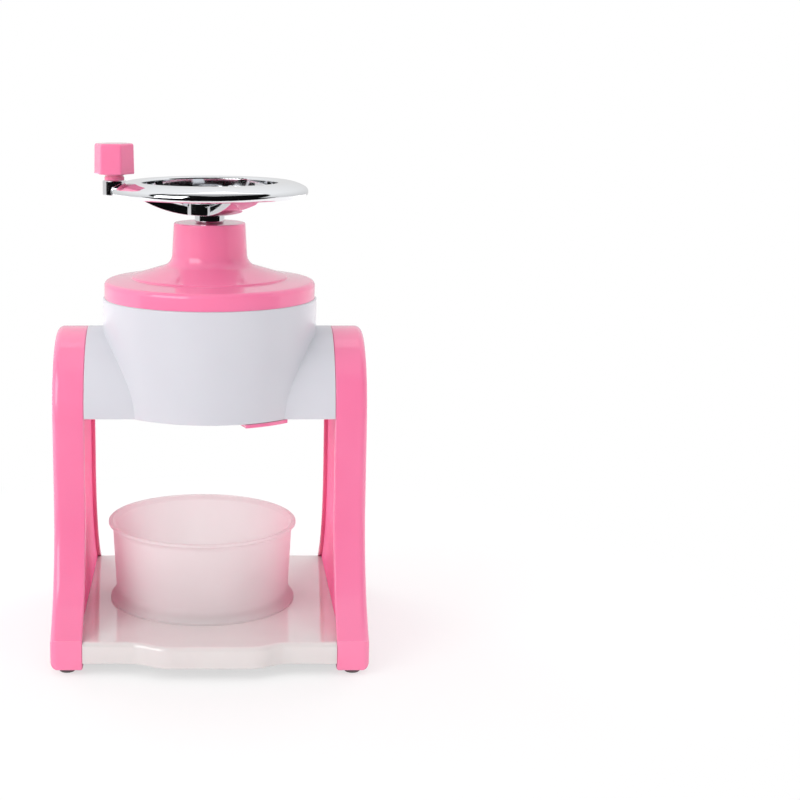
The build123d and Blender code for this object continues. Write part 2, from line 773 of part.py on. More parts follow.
# ---- Shaft ----
with BuildPart() as crank_shaft:
    with BuildSketch(Plane.XY.offset(shaft_bottom)):
        Circle(shaft_radius)
    extrude(amount=shaft_top - shaft_bottom)
    # flats that drive the press plate and the wheel
    flat_depth = shaft_radius * 0.25
    for low, high in ((shaft_bottom, press_top), (shaft_top - hub_socket, shaft_top)):
        for side_sign in (-1, 1):
            with BuildSketch(Plane.XY.offset(low)):
                with Locations((0, side_sign * (shaft_radius - flat_depth / 2 + 1))):
                    Rectangle(2 * shaft_radius, flat_depth + 2)
            extrude(amount=high - low, mode=Mode.SUBTRACT)
    with BuildSketch(Plane.XY.offset(shaft_bottom)):
        Circle(press_screw_radius + screw_fit)
    extrude(amount=press_screw_length, mode=Mode.SUBTRACT)
    with BuildSketch(Plane.XY.offset(shaft_top)):
        Circle(hub_screw_radius + screw_fit)
    extrude(amount=-hub_screw_length, mode=Mode.SUBTRACT)


def flatted_hole(extra):
    """Outline of the shaft's flatted end with some clearance."""
    with BuildSketch() as outline:
        Circle(shaft_radius + extra)
        Rectangle(
            4 * shaft_radius,
            2 * (shaft_radius - flat_depth + extra),
            mode=Mode.INTERSECT,
        )
    return outline.sketch


# ---- Press plate and its spikes ----
with BuildPart() as press_plate:
    with BuildSketch(Plane.XY.offset(press_bottom)):
        Circle(press_radius)
    extrude(amount=press_thickness)
    chamfer(press_plate.edges(), press_edge_chamfer)
    with BuildSketch(Plane.XY.offset(press_top)):
        Circle(press_boss_radius)
    extrude(amount=press_boss_height)
    with BuildSketch(Plane.XY.offset(press_top)):
        Circle(press_radius - press_pocket_rim)
        Circle(press_pocket_inner, mode=Mode.SUBTRACT)
        with PolarLocations(press_radius / 2, press_rib_count):
            Rectangle(press_radius, press_rib_width, mode=Mode.SUBTRACT)
    extrude(amount=-press_pocket_depth, mode=Mode.SUBTRACT)
    extrude(
        flatted_hole(screw_fit).moved(Location((0, 0, press_bottom))),
        amount=press_boss_top - press_bottom,
        mode=Mode.SUBTRACT,
    )
    with BuildSketch(Plane.XY.offset(press_top)):
        Circle(shaft_radius + screw_fit)
    extrude(amount=press_boss_height, mode=Mode.SUBTRACT)
    spike_places = PolarLocations(inner_spike_circle, inner_spike_count, start_angle=30).locations
    spike_places += PolarLocations(outer_spike_circle, outer_spike_count, start_angle=10).locations
    with BuildSketch(Plane.XY.offset(press_bottom)):
        with Locations(*[place.position for place in spike_places]):
            Circle(spike_radius + screw_fit)
    extrude(amount=spike_root, mode=Mode.SUBTRACT)

with BuildPart() as press_spikes:
    spike_tip = press_bottom - spike_reach
    with BuildSketch(Plane.XY.offset(spike_tip + spike_tip_length)):
        with Locations(*[place.position for place in spike_places]):
            Circle(spike_radius)
    extrude(amount=spike_reach - spike_tip_length + spike_root)
    for place in spike_places:
        with Locations(Location((place.position.X, place.position.Y, spike_tip))):
            Cone(
                spike_radius * 0.12,
                spike_radius,
                spike_tip_length,
                align=(Align.CENTER, Align.CENTER, Align.MIN),
            )

with BuildPart() as press_screw:
    add(
        pan_screw(
            press_screw_radius,
            press_screw_length - 1,
            press_screw_head_radius,
            press_screw_head_height,
        ).moved(Location((0, 0, press_bottom), (180, 0, 0)))
    )

# ---- Handwheel: dished spokes inside a broad rounded rim ----
with BuildPart() as hub_collar:
    with BuildSketch(Plane.XY.offset(collar_bottom)):
        Circle(collar_radius)
        Circle(shaft_radius + screw_fit, mode=Mode.SUBTRACT)
    extrude(amount=hub_bottom - collar_bottom)
    chamfer(
        hub_collar.edges()
        .filter_by(GeomType.CIRCLE)
        .filter_by_position(Axis.Z, collar_bottom - 0.01, collar_bottom + 0.01)
        .sort_by(SortBy.RADIUS)[-1],
        0.6,
    )

with BuildPart() as handwheel:
    # dish and hub
    with BuildSketch(Plane.XZ):
        with BuildLine():
            dish_radius = rim_inner_radius + 0.2 * (rim_radius - rim_inner_radius)
            middle_radius = (hub_foot_radius + dish_radius) / 2
            middle_height = hub_bottom + dish_sweep * rim_lift
            underside = ThreePointArc(
                (hub_foot_radius, hub_bottom),
                (middle_radius, middle_height),
                (dish_radius, rim_bottom),
            )
            wall = Line(underside @ 1, (dish_radius, rim_bottom + dish_thickness))
            upper_side = ThreePointArc(
                wall @ 1,
                (middle_radius, middle_height + 1.2 * dish_thickness),
                (hub_foot_radius, hub_bottom + 1.1 * dish_thickness),
            )
            Polyline(upper_side @ 1, (0, (upper_side @ 1).Y), (0, hub_bottom), underside @ 0)
        make_face()
    revolve(axis=Axis.Z)
    with BuildSketch(Plane.XY.offset(hub_bottom + dish_thickness)):
        Circle(hub_radius)
    extrude(amount=hub_top - hub_bottom - dish_thickness)
    # windows between the spokes
    with BuildSketch(Plane.XY.offset(hub_bottom - 1)) as windows:
        Circle(rim_inner_radius + 4)
        Circle(hub_radius, mode=Mode.SUBTRACT)
        with PolarLocations(rim_inner_radius, spoke_count, start_angle=spoke_first_angle):
            Rectangle(2 * rim_inner_radius, spoke_width, mode=Mode.SUBTRACT)
        fillet(windows.vertices(), window_corner)
    extrude(amount=rim_top - hub_bottom + 2, mode=Mode.SUBTRACT)
    # rim
    with BuildSketch(Plane.XZ) as rim_profile:
        with BuildLine():
            nose_top = (rim_radius - rim_height * 0.22, rim_nose_height + rim_height * 0.39)
            nose_bottom = (rim_radius - rim_height * 0.14, rim_bottom + rim_height * 0.01)
            rim_middle = (rim_radius + rim_inner_radius) / 2
            top_corner = (rim_inner_radius, rim_top - rim_height * 0.06)
            bottom_corner = (rim_inner_radius, rim_bottom + rim_height * 0.1)
            ThreePointArc(top_corner, (rim_middle - rim_height * 0.2, rim_top), nose_top)
            ThreePointArc(nose_top, (rim_radius, rim_nose_height), nose_bottom)
            Line(nose_bottom, bottom_corner)
            Line(bottom_corner, top_corner)
        make_face()
        for corner in (top_corner, bottom_corner):
            fillet(rim_profile.vertices().sort_by_distance(corner)[0], rim_corner_radius)
    revolve(axis=Axis.Z)
    # boss that carries the knob
    with BuildSketch(Plane.XY.offset(rim_bottom + 0.4)):
        with Locations((-knob_circle, 0)):
            Circle(knob_boss_radius)
    extrude(amount=knob_boss_top - rim_bottom - 0.4)
    with BuildSketch(Plane.XY.offset(knob_boss_top)):
        with Locations((-knob_circle, 0)):
            Circle(axle_thread_radius + screw_fit)
    extrude(amount=-axle_thread_length, mode=Mode.SUBTRACT)
    # socket for the shaft, hole for its screw, seat of the cap
    extrude(
        flatted_hole(screw_fit).moved(Location((0, 0, hub_bottom))),
        amount=hub_socket,
        mode=Mode.SUBTRACT,
    )
    with BuildSketch(Plane.XY.offset(hub_bottom)):
        Circle(hub_screw_radius + screw_fit)
    extrude(amount=hub_top - hub_bottom, mode=Mode.SUBTRACT)

with BuildPart() as hub_screw:
    add(
        pan_screw(
            hub_screw_radius,
            hub_screw_length - 0.5,
            hub_screw_head_radius,
            hub_screw_head_height,
        ).moved(Location((0, 0, hub_top)))
    )

with BuildPart() as hub_cap:
    with BuildSketch(Plane.XY.offset(hub_top)):
        Circle(cap_radius)
    extrude(amount=cap_height)
    fillet(hub_cap.faces().sort_by(Axis.Z)[-1].edges(), cap_height * 0.6)
    with BuildSketch(Plane.XY.offset(hub_top)):
        Circle(hub_screw_head_radius + cap_fit)
    extrude(amount=hub_screw_head_height + cap_fit, mode=Mode.SUBTRACT)

# ---- Knob on its axle ----
with BuildPart() as knob:
    with BuildSketch(Plane.XY.offset(knob_bottom)) as knob_section:
        with Locations((-knob_circle, 0)):
            RegularPolygon(knob_across_corners / 2, knob_sides, rotation=knob_turn)
        fillet(knob_section.vertices(), knob_corner_radius)
    extrude(amount=knob_top - knob_bottom, taper=knob_draft)
    fillet(knob.faces().sort_by(Axis.Z)[-1].edges(), knob_edge_radius)
    fillet(knob.faces().sort_by(Axis.Z)[0].edges(), 0.5)
    stem_bottom = knob_boss_top + knob_gap
    with BuildSketch(Plane.XY.offset(stem_bottom)):
        with Locations((-knob_circle, 0)):
            Circle(stem_radius)
    extrude(amount=stem_height + 1)
    with BuildSketch(Plane.XY.offset(stem_bottom + stem_height * 0.55)):
        with Locations((-knob_circle, 0)):
            Circle(stem_radius + 1)
            Circle(stem_radius - stem_groove_depth, mode=Mode.SUBTRACT)
    extrude(amount=stem_groove_height, mode=Mode.SUBTRACT)
    axle_head_bottom = knob_top - knob_cap_thickness - axle_head_gap - axle_head_height
    with Locations((-knob_circle, 0, knob_top)):
        Cylinder(
            knob_cap_radius + running_gap,
            knob_top - axle_head_bottom + axle_head_gap,
            align=(Align.CENTER, Align.CENTER, Align.MAX),
            mode=Mode.SUBTRACT,
        )
        Cylinder(
            axle_radius + running_gap,
            knob_top - stem_bottom,
            align=(Align.CENTER, Align.CENTER, Align.MAX),
            mode=Mode.SUBTRACT,
        )

with BuildPart() as knob_axle:
    with Locations((-knob_circle, 0, knob_boss_top)):
        Cylinder(
            axle_radius,
            axle_head_bottom - knob_boss_top,
            align=(Align.CENTER, Align.CENTER, Align.MIN),
        )
        Cylinder(
            axle_thread_radius,
            axle_thread_length - 0.5,
            align=(Align.CENTER, Align.CENTER, Align.MAX),
        )
    with Locations((-knob_circle, 0, axle_head_bottom)):
        Cylinder(
            axle_head_radius,
            axle_head_height,
            align=(Align.CENTER, Align.CENTER, Align.MIN),
        )

with BuildPart() as knob_cap:
    with Locations((-knob_circle, 0, knob_top)):
        Cylinder(
            knob_cap_radius,
            knob_cap_thickness,
            align=(Align.CENTER, Align.CENTER, Align.MAX),
        )

# ---- Bowl ----
with BuildPart() as bowl:
    with BuildSketch(Plane.XZ):
        with BuildLine():
            wall_low = (bowl_wall_bottom, bowl_bottom + bowl_foot_height)
            wall_high = (bowl_wall_top, bowl_top - bowl_flare_height)
            inside_low = (bowl_wall_bottom - bowl_wall, bowl_bottom + bowl_floor_lift + bowl_wall)
            Polyline(
                (0, bowl_bottom + bowl_floor_lift),
                (bowl_wall_bottom - 2.0, bowl_bottom + bowl_floor_lift),
                (bowl_wall_bottom - 1.0, bowl_bottom),
                (bowl_foot_radius, bowl_bottom),
                (bowl_foot_radius, bowl_bottom + bowl_foot_edge),
            )
            wall = Line(wall_low, wall_high)
            TangentArc(wall @ 0, (bowl_foot_radius, bowl_bottom + bowl_foot_edge), tangent=wall % 0 * -1)
            TangentArc(wall @ 1, (bowl_rim_radius, bowl_top - bowl_rim_height), tangent=wall % 1)
            Polyline(
                (bowl_rim_radius, bowl_top - bowl_rim_height),
                (bowl_rim_radius, bowl_top),
                (bowl_wall_top, bowl_top),
                (bowl_wall_top - bowl_wall, bowl_top - bowl_flare_height / 2),
                inside_low,
                (0, bowl_bottom + bowl_floor_lift + bowl_wall),
                (0, bowl_bottom + bowl_floor_lift),
            )
        make_face()
    revolve(axis=Axis.Z)
    floor_corner = bowl.edges().filter_by(GeomType.CIRCLE).filter_by_position(
        Axis.Z,
        bowl_bottom + bowl_floor_lift + bowl_wall - 0.01,
        bowl_bottom + bowl_floor_lift + bowl_wall + 0.01,
    )
    fillet(floor_corner, bowl_corner_radius)
    rim_edges = bowl.edges().filter_by(GeomType.CIRCLE).filter_by_position(Axis.Z, bowl_top - 0.01, bowl_top + 0.01)
    chamfer(rim_edges.sort_by(SortBy.RADIUS)[-1], bowl_rim_height * 0.3)

pieces = {
    "base_plate": base_plate.part,
    "left_frame": left_frame.part,
    "right_frame": right_frame.part,
    "left_frame_cover": left_frame_cover.part,
    "right_frame_cover": right_frame_cover.part,
    "frame_screws": frame_screws.part,
    "screw_plugs": screw_plugs.part,
    "rubber_feet": rubber_feet.part,
    "housing": housing.part,
    "blade_seat": blade_seat.part,
    "blade": blade.part,
    "blade_screws": blade_screws.part,
    "lid": lid.part,
    "neck_bush": neck_bush.part,
    "press_spring": press_spring.part,
    "thrust_washer": thrust_washer.part,
    "crank_shaft": crank_shaft.part,
    "press_plate": press_plate.part,
    "press_spikes": press_spikes.part,
    "press_screw": press_screw.part,
    "hub_collar": hub_collar.part,
    "handwheel": handwheel.part,
    "hub_screw": hub_screw.part,
    "hub_cap": hub_cap.part,
    "knob": knob.part,
    "knob_axle": knob_axle.part,
    "knob_cap": knob_cap.part,
}
for name, piece in pieces.items():
    piece.label = name
    export_step(piece, f"parts/{name}.step")
bowl.part.label = "bowl"
export_step(bowl.part.moved(Location((bowl_offset, 0, 0))), "parts/bowl.step")
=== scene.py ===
import bpy
from math import radians
from mathutils import Matrix, Vector


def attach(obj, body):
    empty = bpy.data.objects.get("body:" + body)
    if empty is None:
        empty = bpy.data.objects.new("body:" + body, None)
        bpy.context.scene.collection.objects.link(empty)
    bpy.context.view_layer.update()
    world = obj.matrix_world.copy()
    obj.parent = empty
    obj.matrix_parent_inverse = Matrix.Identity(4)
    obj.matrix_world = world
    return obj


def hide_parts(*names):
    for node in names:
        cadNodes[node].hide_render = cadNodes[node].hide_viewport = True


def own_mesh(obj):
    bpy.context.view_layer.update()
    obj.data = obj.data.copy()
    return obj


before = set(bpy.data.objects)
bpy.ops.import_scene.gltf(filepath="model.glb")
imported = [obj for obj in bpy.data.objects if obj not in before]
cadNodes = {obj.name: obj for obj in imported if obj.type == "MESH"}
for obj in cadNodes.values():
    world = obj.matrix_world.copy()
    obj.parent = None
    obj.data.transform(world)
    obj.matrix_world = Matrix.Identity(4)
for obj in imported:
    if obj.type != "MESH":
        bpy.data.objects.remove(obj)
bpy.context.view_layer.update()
scene = bpy.context.scene
print("frame loaded:", len(cadNodes), "pieces")


def linearColour(hexValue, alpha=1.0):
    channels = [int(hexValue[i:i + 2], 16) / 255 for i in (1, 3, 5)]
    return tuple(c / 12.92 if c <= 0.04045 else ((c + 0.055) / 1.055) ** 2.4 for c in channels) + (alpha,)


millimetresPerMetre = 1000


def metres(millimetres):
    return millimetres / millimetresPerMetre


def perMetre(millimetres):  # texture scale for a pattern whose repeat is this long
    return millimetresPerMetre / millimetres


def addNode(tree, kind, values=None, links=None, **settings):
    node = tree.nodes.new(kind)
    for name, value in settings.items():
        setattr(node, name, value)
    for socket, value in (values or {}).items():
        node.inputs[socket].default_value = value
    for socket, source in (links or {}).items():
        tree.links.new(source, node.inputs[socket])
    return node


def newMaterial(name):
    material = bpy.data.materials.new(name)
    material.use_nodes = True
    material.node_tree.nodes.clear()
    return material


def giveMaterial(material, *names):
    for name in names:
        mesh = cadNodes[name].data
        mesh.materials.clear()
        mesh.materials.append(material)


# Camera: a little above the knob, looking slightly down, with the shaver left of the middle
cameraSettings = {
    "place": (0.0, -0.8766, 0.3161),  # metres
    "pitchDown": 11.83,  # degrees
    "lens": 72.0,  # mm
    "sensor": 36.0,  # mm
    "shiftRight": 0.238,  # share of the picture's width
    "nearest": 0.02,  # metres, nothing closer is drawn
}


def makeCamera(settings):
    data = bpy.data.cameras.new("camera")
    data.lens = settings["lens"]
    data.sensor_width = settings["sensor"]
    data.shift_x = settings["shiftRight"]
    data.clip_start = settings["nearest"]
    camera = bpy.data.objects.new("camera", data)
    scene.collection.objects.link(camera)
    tilt = Matrix.Rotation(radians(90 - settings["pitchDown"]), 4, "X")
    camera.matrix_world = Matrix.Translation(settings["place"]) @ tilt
    scene.camera = camera


makeCamera(cameraSettings)
print("camera set")


# Injection moulded ABS from a polished mould: even colour, clear but slightly rippled reflections
pinkAbsSettings = {
    "deep": "#F06C9B",
    "light": "#F884AE",
    "flowLength": 55.0,  # mm, faint cloudiness from the way the melt ran
    "ripple": 16.0,  # mm, slow waviness that bends reflections
    "rippleDepth": 0.05,  # mm
    "rippleStrength": 0.6,
    "speck": 1.1,  # mm, polish marks, coarser than the real ones so that they show
    "smooth": 0.34,
    "rough": 0.44,
    "edgeRadius": 0.6,  # mm
    "edge": "#FFC6DA",  # painted highlight: edges and corners are coloured paler to stand in for the light they catch
    "edgeHighlightShare": 0.55,
    "edgeTurn": (0.75, 0.98),  # how far the rounded normal lies along the flat one: at a corner, off it
    "ior": 1.54,
    "shine": 0.5,
    "skin": 1.0,  # share of the smooth skin that the polished mould leaves over the body
    "skinRoughness": (0.04, 0.10),
    "glow": 0.12,  # share of light that spreads inside the plastic
    "glowDepth": 4.0,  # mm
    "glowSpread": (1.0, 0.45, 0.6),  # how far red, green and blue go, as shares of that depth
}
# the white copy keeps the painted edge highlight, in its own paler colour
whiteAbsSettings = dict(
    pinkAbsSettings, deep="#C9C9D1", light="#D2D2D9", edge="#EDEDF2",
    skin=0.3, skinRoughness=(0.12, 0.24), glow=0.08,
)
# the covers inside the frames get a copy of the pink in a deeper, more saturated colour: painted shade and
# pink bounce light inside the bay; they are also rougher and shine less, and their paler edge colour is a
# painted highlight
shadedCoverAbsSettings = dict(
    pinkAbsSettings, deep="#FC609B", light="#FF6EA6", edge="#FF9CC0",
    smooth=0.42, rough=0.58, shine=0.12, skin=0.0, rippleDepth=0.02,
)


def mouldedAbs(name, settings):
    material = newMaterial(name)
    tree = material.node_tree
    place = addNode(tree, "ShaderNodeTexCoord").outputs["Object"]
    flow = addNode(
        tree, "ShaderNodeTexNoise", {"Scale": perMetre(settings["flowLength"]), "Detail": 2.0},
        {"Vector": place},
    )
    colour = addNode(
        tree, "ShaderNodeMix", {6: linearColour(settings["deep"]), 7: linearColour(settings["light"])},
        {0: flow.outputs["Fac"]}, data_type="RGBA",
    )
    speck = addNode(
        tree, "ShaderNodeTexNoise", {"Scale": perMetre(settings["speck"]), "Detail": 3.0},
        {"Vector": place},
    )
    gloss = addNode(
        tree, "ShaderNodeMapRange", {"To Min": settings["smooth"], "To Max": settings["rough"]},
        {"Value": speck.outputs["Fac"]},
    )
    skinFrom, skinTo = settings["skinRoughness"]
    skinGloss = addNode(
        tree, "ShaderNodeMapRange", {"To Min": skinFrom, "To Max": skinTo}, {"Value": speck.outputs["Fac"]},
    )
    ripple = addNode(
        tree, "ShaderNodeTexNoise", {"Scale": perMetre(settings["ripple"]), "Detail": 1.0},
        {"Vector": place},
    )
    edges = addNode(tree, "ShaderNodeBevel", {"Radius": metres(settings["edgeRadius"])}, samples=6)
    flat = addNode(tree, "ShaderNodeNewGeometry").outputs["Normal"]
    turned = addNode(
        tree, "ShaderNodeVectorMath", links={0: edges.outputs["Normal"], 1: flat}, operation="DOT_PRODUCT",
    )
    turnedMost, turnedLeast = settings["edgeTurn"]
    # painted highlight: where the rounded normal turns away from the flat one, a paler colour is mixed in
    edgeHighlightMask = addNode(
        tree, "ShaderNodeMapRange",
        {"From Min": turnedMost, "From Max": turnedLeast, "To Min": settings["edgeHighlightShare"], "To Max": 0.0},
        {"Value": turned.outputs["Value"]},
    )
    edgeHighlighted = addNode(
        tree, "ShaderNodeMix", {7: linearColour(settings["edge"])},
        {0: edgeHighlightMask.outputs[0], 6: colour.outputs[2]}, data_type="RGBA",
    )
    bump = addNode(
        tree, "ShaderNodeBump",
        {"Strength": settings["rippleStrength"], "Distance": metres(settings["rippleDepth"])},
        {"Height": ripple.outputs["Fac"], "Normal": edges.outputs["Normal"]},
    )
    shader = addNode(
        tree, "ShaderNodeBsdfPrincipled",
        {
            "IOR": settings["ior"],
            "Specular IOR Level": settings["shine"],
            "Subsurface Weight": settings["glow"],
            "Subsurface Radius": settings["glowSpread"],
            "Subsurface Scale": metres(settings["glowDepth"]),
            "Coat Weight": settings["skin"],
        },
        {
            "Base Color": edgeHighlighted.outputs[2], "Roughness": gloss.outputs[0], "Normal": bump.outputs["Normal"],
            "Coat Roughness": skinGloss.outputs[0], "Coat Normal": bump.outputs["Normal"],
        },
    )
    addNode(tree, "ShaderNodeOutputMaterial", links={"Surface": shader.outputs[0]})
    return material


# Milky clear styrene, moulded thick: light goes some way in, the top face is very smooth
milkyStyreneSettings = {
    "deep": "#D6CDCD",
    "light": "#E2DDDB",
    "cloud": 38.0,  # mm
    "speck": 1.4,  # mm
    "smooth": 0.04,
    "rough": 0.10,
    "edgeRadius": 0.4,  # mm
    "ior": 1.59,
    "shine": 1.0,
    "glow": 0.55,
    "glowDepth": 6.0,  # mm
    "glowSpread": (1.0, 0.8, 0.8),
}


def milkyStyrene(settings):
    material = newMaterial("milkyStyrene")
    tree = material.node_tree
    place = addNode(tree, "ShaderNodeTexCoord").outputs["Object"]
    cloud = addNode(
        tree, "ShaderNodeTexNoise", {"Scale": perMetre(settings["cloud"]), "Detail": 3.0},
        {"Vector": place},
    )
    colour = addNode(
        tree, "ShaderNodeMix", {6: linearColour(settings["deep"]), 7: linearColour(settings["light"])},
        {0: cloud.outputs["Fac"]}, data_type="RGBA",
    )
    speck = addNode(
        tree, "ShaderNodeTexNoise", {"Scale": perMetre(settings["speck"]), "Detail": 3.0},
        {"Vector": place},
    )
    gloss = addNode(
        tree, "ShaderNodeMapRange", {"To Min": settings["smooth"], "To Max": settings["rough"]},
        {"Value": speck.outputs["Fac"]},
    )
    edges = addNode(tree, "ShaderNodeBevel", {"Radius": metres(settings["edgeRadius"])}, samples=4)
    shader = addNode(
        tree, "ShaderNodeBsdfPrincipled",
        {
            "IOR": settings["ior"],
            "Specular IOR Level": settings["shine"],
            "Subsurface Weight": settings["glow"],
            "Subsurface Radius": settings["glowSpread"],
            "Subsurface Scale": metres(settings["glowDepth"]),
        },
        {"Base Color": colour.outputs[2], "Roughness": gloss.outputs[0], "Normal": edges.outputs["Normal"]},
    )
    addNode(tree, "ShaderNodeOutputMaterial", links={"Surface": shader.outputs[0]})
    return material


# Frosted polypropylene, thin walled: a fine etched skin, light comes through softly
frostedPolypropyleneSettings = {
    "deep": "#F4F2F2",
    "light": "#FAF9F9",
    "cloud": 26.0,  # mm
    "etch": 0.7,  # mm, coarser than the real etching
    "etchDepth": 0.02,  # mm
    "etchStrength": 0.5,
    "smooth": 0.3,
    "rough": 0.45,
    "milky": 0.5,  # share of light that passes through scattered
    "clear": 0.38,  # share that passes nearly straight
    "edgeRadius": 0.35,  # mm
    "ior": 1.49,
}


def frostedPolypropylene(settings):
    material = newMaterial("frostedPolypropylene")
    tree = material.node_tree
    place = addNode(tree, "ShaderNodeTexCoord").outputs["Object"]
    cloud = addNode(
        tree, "ShaderNodeTexNoise", {"Scale": perMetre(settings["cloud"]), "Detail": 2.0},
        {"Vector": place},
    )
    colour = addNode(
        tree, "ShaderNodeMix", {6: linearColour(settings["deep"]), 7: linearColour(settings["light"])},
        {0: cloud.outputs["Fac"]}, data_type="RGBA",
    )
    etch = addNode(
        tree, "ShaderNodeTexNoise", {"Scale": perMetre(settings["etch"]), "Detail": 4.0},
        {"Vector": place},
    )
    gloss = addNode(
        tree, "ShaderNodeMapRange", {"To Min": settings["smooth"], "To Max": settings["rough"]},
        {"Value": etch.outputs["Fac"]},
    )
    edges = addNode(tree, "ShaderNodeBevel", {"Radius": metres(settings["edgeRadius"])}, samples=4)
    bump = addNode(
        tree, "ShaderNodeBump",
        {"Strength": settings["etchStrength"], "Distance": metres(settings["etchDepth"])},
        {"Height": etch.outputs["Fac"], "Normal": edges.outputs["Normal"]},
    )
    skin = addNode(
        tree, "ShaderNodeBsdfPrincipled", {"IOR": settings["ior"]},
        {"Base Color": colour.outputs[2], "Roughness": gloss.outputs[0], "Normal": bump.outputs["Normal"]},
    )
    scattered = addNode(
        tree, "ShaderNodeBsdfTranslucent",
        links={"Color": colour.outputs[2], "Normal": bump.outputs["Normal"]},
    )
    straight = addNode(tree, "ShaderNodeBsdfTransparent", links={"Color": colour.outputs[2]})
    body = addNode(
        tree, "ShaderNodeMixShader", {0: settings["milky"]}, {1: skin.outputs[0], 2: scattered.outputs[0]},
    )
    wall = addNode(
        tree, "ShaderNodeMixShader", {0: settings["clear"]}, {1: body.outputs[0], 2: straight.outputs[0]},
    )
    addNode(tree, "ShaderNodeOutputMaterial", links={"Surface": wall.outputs[0]})
    return material


# Bright chrome plate over a moulded core: mirror finish with a slow unevenness and a little haze
chromePlateSettings = {
    "colour": "#EDEFF2",
    "wave": 22.0,  # mm
    "waveDepth": 0.06,  # mm
    "waveStrength": 0.5,
    "haze": 5.0,  # mm
    "smooth": 0.03,
    "rough": 0.09,
    "edgeRadius": 0.5,  # mm
}


def chromePlate(settings):
    material = newMaterial("chromePlate")
    tree = material.node_tree
    place = addNode(tree, "ShaderNodeTexCoord").outputs["Object"]
    haze = addNode(
        tree, "ShaderNodeTexNoise", {"Scale": perMetre(settings["haze"]), "Detail": 4.0},
        {"Vector": place},
    )
    gloss = addNode(
        tree, "ShaderNodeMapRange", {"To Min": settings["smooth"], "To Max": settings["rough"]},
        {"Value": haze.outputs["Fac"]},
    )
    wave = addNode(
        tree, "ShaderNodeTexNoise", {"Scale": perMetre(settings["wave"]), "Detail": 1.0},
        {"Vector": place},
    )
    edges = addNode(tree, "ShaderNodeBevel", {"Radius": metres(settings["edgeRadius"])}, samples=6)
    bump = addNode(
        tree, "ShaderNodeBump",
        {"Strength": settings["waveStrength"], "Distance": metres(settings["waveDepth"])},
        {"Height": wave.outputs["Fac"], "Normal": edges.outputs["Normal"]},
    )
    shader = addNode(
        tree, "ShaderNodeBsdfPrincipled",
        {"Base Color": linearColour(settings["colour"]), "Metallic": 1.0},
        {"Roughness": gloss.outputs[0], "Normal": bump.outputs["Normal"]},
    )
    addNode(tree, "ShaderNodeOutputMaterial", links={"Surface": shader.outputs[0]})
    return material


# Stainless steel, turned or ground: fine lines one way, soft highlights across them
groundSteelSettings = {
    "colour": "#B9BABD",
    "line": 0.6,  # mm between grinding lines, coarser than real
    "lineStretch": (0.08, 1.0, 1.0),  # the lines run along X
    "lineDepth": 0.012,  # mm
    "lineStrength": 0.5,
    "smooth": 0.22,
    "rough": 0.38,
    "edgeRadius": 0.15,  # mm
}


def groundSteel(settings):
    material = newMaterial("groundSteel")
    tree = material.node_tree
    place = addNode(tree, "ShaderNodeTexCoord").outputs["Object"]
    stretch = addNode(tree, "ShaderNodeMapping", {"Scale": settings["lineStretch"]}, {"Vector": place})
    lines = addNode(
        tree, "ShaderNodeTexNoise", {"Scale": perMetre(settings["line"]), "Detail": 3.0},
        {"Vector": stretch.outputs[0]},
    )
    gloss = addNode(
        tree, "ShaderNodeMapRange", {"To Min": settings["smooth"], "To Max": settings["rough"]},
        {"Value": lines.outputs["Fac"]},
    )
    edges = addNode(tree, "ShaderNodeBevel", {"Radius": metres(settings["edgeRadius"])}, samples=4)
    bump = addNode(
        tree, "ShaderNodeBump",
        {"Strength": settings["lineStrength"], "Distance": metres(settings["lineDepth"])},
        {"Height": lines.outputs["Fac"], "Normal": edges.outputs["Normal"]},
    )
    shader = addNode(
        tree, "ShaderNodeBsdfPrincipled",
        {"Base Color": linearColour(settings["colour"]), "Metallic": 1.0},
        {"Roughness": gloss.outputs[0], "Normal": bump.outputs["Normal"]},
    )
    addNode(tree, "ShaderNodeOutputMaterial", links={"Surface": shader.outputs[0]})
    return material


# Moulded rubber: dull, slightly dusty, fine spark-eroded grain
mouldedRubberSettings = {
    "deep": "#5B5557",
    "light": "#716A6C",
    "grain": 0.8,  # mm
    "grainDepth": 0.03,  # mm
    "grainStrength": 0.8,
    "smooth": 0.65,
    "rough": 0.85,
    "ior": 1.52,
}


def mouldedRubber(settings):
    material = newMaterial("mouldedRubber")
    tree = material.node_tree
    place = addNode(tree, "ShaderNodeTexCoord").outputs["Object"]
    grain = addNode(
        tree, "ShaderNodeTexNoise", {"Scale": perMetre(settings["grain"]), "Detail": 3.0},
        {"Vector": place},
    )
    colour = addNode(
        tree, "ShaderNodeMix", {6: linearColour(settings["deep"]), 7: linearColour(settings["light"])},
        {0: grain.outputs["Fac"]}, data_type="RGBA",
    )
    gloss = addNode(
        tree, "ShaderNodeMapRange", {"To Min": settings["smooth"], "To Max": settings["rough"]},
        {"Value": grain.outputs["Fac"]},
    )
    bump = addNode(
        tree, "ShaderNodeBump",
        {"Strength": settings["grainStrength"], "Distance": metres(settings["grainDepth"])},
        {"Height": grain.outputs["Fac"]},
    )
    shader = addNode(
        tree, "ShaderNodeBsdfPrincipled", {"IOR": settings["ior"]},
        {"Base Color": colour.outputs[2], "Roughness": gloss.outputs[0], "Normal": bump.outputs["Normal"]},
    )
    addNode(tree, "ShaderNodeOutputMaterial", links={"Surface": shader.outputs[0]})
    return material


